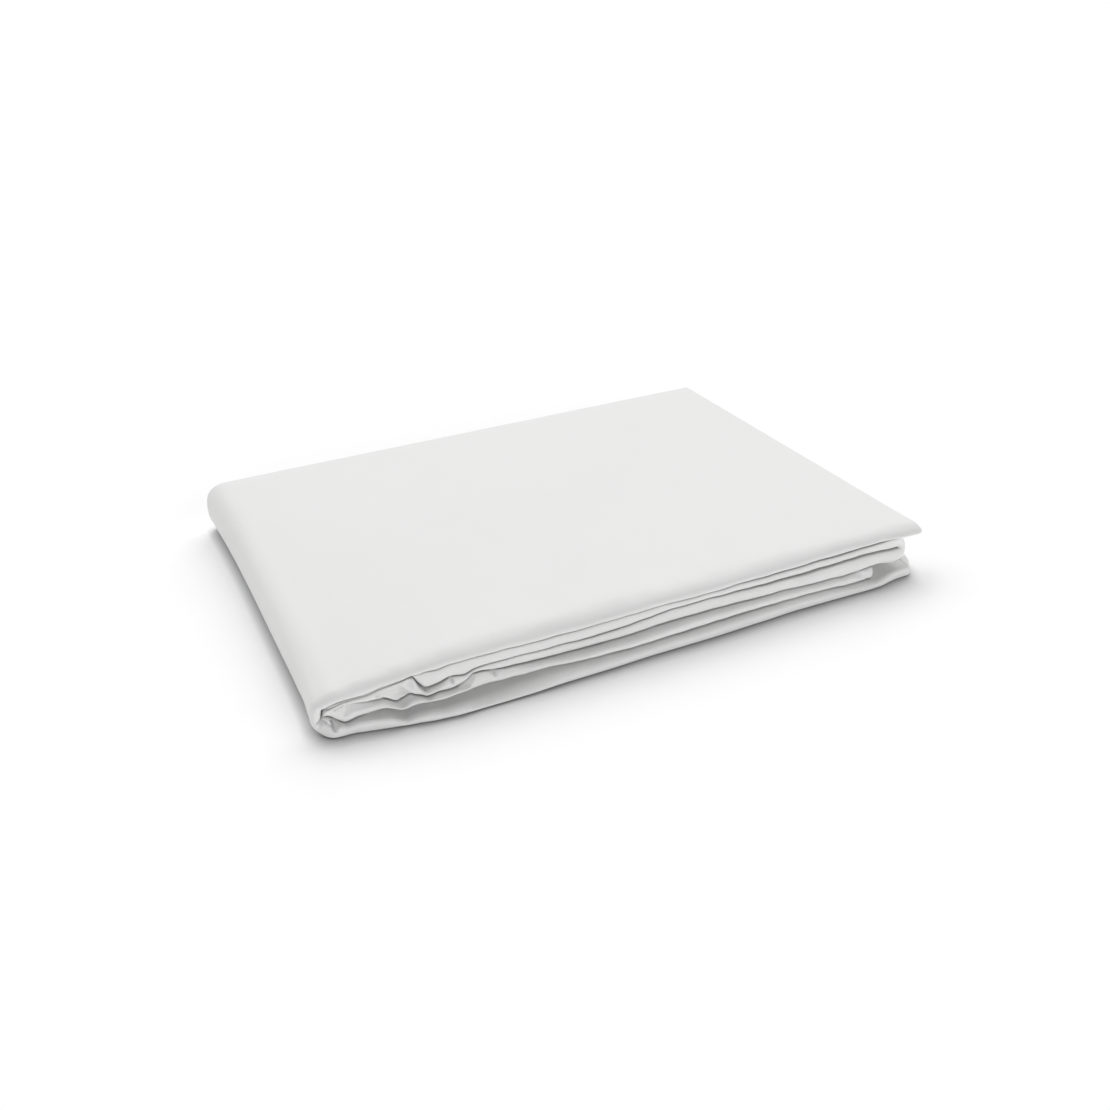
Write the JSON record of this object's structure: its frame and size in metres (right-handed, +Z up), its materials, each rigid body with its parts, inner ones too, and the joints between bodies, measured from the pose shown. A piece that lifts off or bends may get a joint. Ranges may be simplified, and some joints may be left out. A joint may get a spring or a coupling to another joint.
{
  "type": "folded duvet cover",
  "caption": "Plain white cotton duvet cover folded into a flat packet, wrapped round at one end and open at the other, for storage or display.",
  "frame": {"origin": "centre of the packet's bounding box, on the surface that it lies on", "axes": "+X along the long side towards the open end, -Y towards the front side with its folds, +Z up"},
  "size_m": [0.3674, 0.2746, 0.0308],
  "materials": {
    "white_cotton": "matte woven cotton"
  },
  "bodies": {
    "root": {"folded_cover": "white_cotton"}
  },
  "joints": []
}
